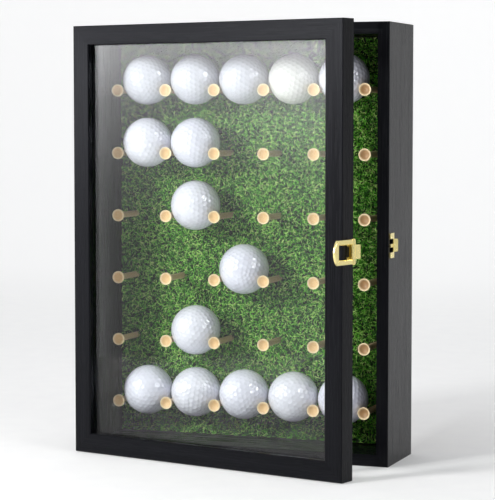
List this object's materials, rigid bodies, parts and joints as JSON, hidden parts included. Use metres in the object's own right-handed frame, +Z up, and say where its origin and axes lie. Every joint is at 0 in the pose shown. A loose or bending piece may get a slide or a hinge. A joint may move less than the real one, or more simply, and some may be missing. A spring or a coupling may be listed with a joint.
{
  "type": "golf ball display case",
  "caption": "Shallow black wooden case with a hinged glass door and brass latch; golf balls rest between tees on a turf-covered back.",
  "frame": {"origin": "centre of the cabinet's base, on the surface it stands on", "axes": "+X right, +Y back, +Z up, seen from the front; the glass door faces -Y"},
  "size_m": [0.2788, 0.1742, 0.366],
  "materials": {
    "black_wood": "black satin stain over fine grain",
    "hardboard": "brown pressed board",
    "plywood": "plain birch plywood",
    "turf": "short artificial turf",
    "tee_wood": "turned pale wood, clear varnish",
    "ball_cover": "glossy white dimpled cover",
    "brass": "polished pressed brass",
    "steel": "zinc-plated steel",
    "glass": "clear flat glass"
  },
  "bodies": {
    "cabinet": {"cabinet_bottom_board": "black_wood", "cabinet_right_board": "black_wood", "cabinet_top_board": "black_wood", "cabinet_left_board": "black_wood", "back_panel": "hardboard", "tee_board": "plywood", "turf_mat": "turf", "tees_row_1": "tee_wood", "tees_row_2": "tee_wood", "tees_row_3": "tee_wood", "tees_row_4": "tee_wood", "tees_row_5": "tee_wood", "tees_row_6": "tee_wood", "lower_hinge_cabinet_leaf": "brass", "upper_hinge_cabinet_leaf": "brass", "hinge_pins": "brass", "cabinet_hinge_screws": "brass", "catch_plate": "brass", "catch_screws": "brass", "back_panel_brads": "steel", "sawtooth_hangers": "steel", "hanger_nails": "steel"},
    "door": {"door_bottom_rail": "black_wood", "door_latch_stile": "black_wood", "door_top_rail": "black_wood", "door_hinge_stile": "black_wood", "glass_pane": "glass", "glazing_strips": "black_wood", "lower_hinge_door_leaf": "brass", "upper_hinge_door_leaf": "brass", "door_hinge_screws": "brass", "latch_base": "brass", "latch_pin": "brass", "latch_screws": "brass"},
    "latch": {"latch_loop": "brass"},
    "ball_row_1_seat_1": {"ball_row_1_seat_1": "ball_cover"},
    "ball_row_1_seat_2": {"ball_row_1_seat_2": "ball_cover"},
    "ball_row_1_seat_3": {"ball_row_1_seat_3": "ball_cover"},
    "ball_row_1_seat_4": {"ball_row_1_seat_4": "ball_cover"},
    "ball_row_1_seat_5": {"ball_row_1_seat_5": "ball_cover"},
    "ball_row_2_seat_1": {"ball_row_2_seat_1": "ball_cover"},
    "ball_row_2_seat_2": {"ball_row_2_seat_2": "ball_cover"},
    "ball_row_3_seat_2": {"ball_row_3_seat_2": "ball_cover"},
    "ball_row_4_seat_3": {"ball_row_4_seat_3": "ball_cover"},
    "ball_row_5_seat_2": {"ball_row_5_seat_2": "ball_cover"},
    "ball_row_6_seat_1": {"ball_row_6_seat_1": "ball_cover"},
    "ball_row_6_seat_2": {"ball_row_6_seat_2": "ball_cover"},
    "ball_row_6_seat_3": {"ball_row_6_seat_3": "ball_cover"},
    "ball_row_6_seat_4": {"ball_row_6_seat_4": "ball_cover"},
    "ball_row_6_seat_5": {"ball_row_6_seat_5": "ball_cover"}
  },
  "joints": [
    {"name": "door_hinge", "type": "hinge", "parent": "cabinet", "child": "door", "pos_m": [-0.1378, -0.0362, 0.183], "axis": [0, 0, -1], "range_deg": [-14.5, 165.5]},
    {"name": "latch_swing", "type": "hinge", "parent": "door", "child": "latch", "pos_m": [0.12849, -0.11085, 0.183], "axis": [0, 0, 1], "range_deg": [0, 180]},
    {"name": "lift_row_1_seat_1", "type": "slide", "parent": "cabinet", "child": "ball_row_1_seat_1", "axis": [0, 0, 1], "range_m": [0, 0.008]},
    {"name": "lift_row_1_seat_2", "type": "slide", "parent": "cabinet", "child": "ball_row_1_seat_2", "axis": [0, 0, 1], "range_m": [0, 0.008]},
    {"name": "lift_row_1_seat_3", "type": "slide", "parent": "cabinet", "child": "ball_row_1_seat_3", "axis": [0, 0, 1], "range_m": [0, 0.008]},
    {"name": "lift_row_1_seat_4", "type": "slide", "parent": "cabinet", "child": "ball_row_1_seat_4", "axis": [0, 0, 1], "range_m": [0, 0.008]},
    {"name": "lift_row_1_seat_5", "type": "slide", "parent": "cabinet", "child": "ball_row_1_seat_5", "axis": [0, 0, 1], "range_m": [0, 0.008]},
    {"name": "lift_row_2_seat_1", "type": "slide", "parent": "cabinet", "child": "ball_row_2_seat_1", "axis": [0, 0, 1], "range_m": [0, 0.008]},
    {"name": "lift_row_2_seat_2", "type": "slide", "parent": "cabinet", "child": "ball_row_2_seat_2", "axis": [0, 0, 1], "range_m": [0, 0.008]},
    {"name": "lift_row_3_seat_2", "type": "slide", "parent": "cabinet", "child": "ball_row_3_seat_2", "axis": [0, 0, 1], "range_m": [0, 0.008]},
    {"name": "lift_row_4_seat_3", "type": "slide", "parent": "cabinet", "child": "ball_row_4_seat_3", "axis": [0, 0, 1], "range_m": [0, 0.008]},
    {"name": "lift_row_5_seat_2", "type": "slide", "parent": "cabinet", "child": "ball_row_5_seat_2", "axis": [0, 0, 1], "range_m": [0, 0.008]},
    {"name": "lift_row_6_seat_1", "type": "slide", "parent": "cabinet", "child": "ball_row_6_seat_1", "axis": [0, 0, 1], "range_m": [0, 0.008]},
    {"name": "lift_row_6_seat_2", "type": "slide", "parent": "cabinet", "child": "ball_row_6_seat_2", "axis": [0, 0, 1], "range_m": [0, 0.008]},
    {"name": "lift_row_6_seat_3", "type": "slide", "parent": "cabinet", "child": "ball_row_6_seat_3", "axis": [0, 0, 1], "range_m": [0, 0.008]},
    {"name": "lift_row_6_seat_4", "type": "slide", "parent": "cabinet", "child": "ball_row_6_seat_4", "axis": [0, 0, 1], "range_m": [0, 0.008]},
    {"name": "lift_row_6_seat_5", "type": "slide", "parent": "cabinet", "child": "ball_row_6_seat_5", "axis": [0, 0, 1], "range_m": [0, 0.008]}
  ]
}
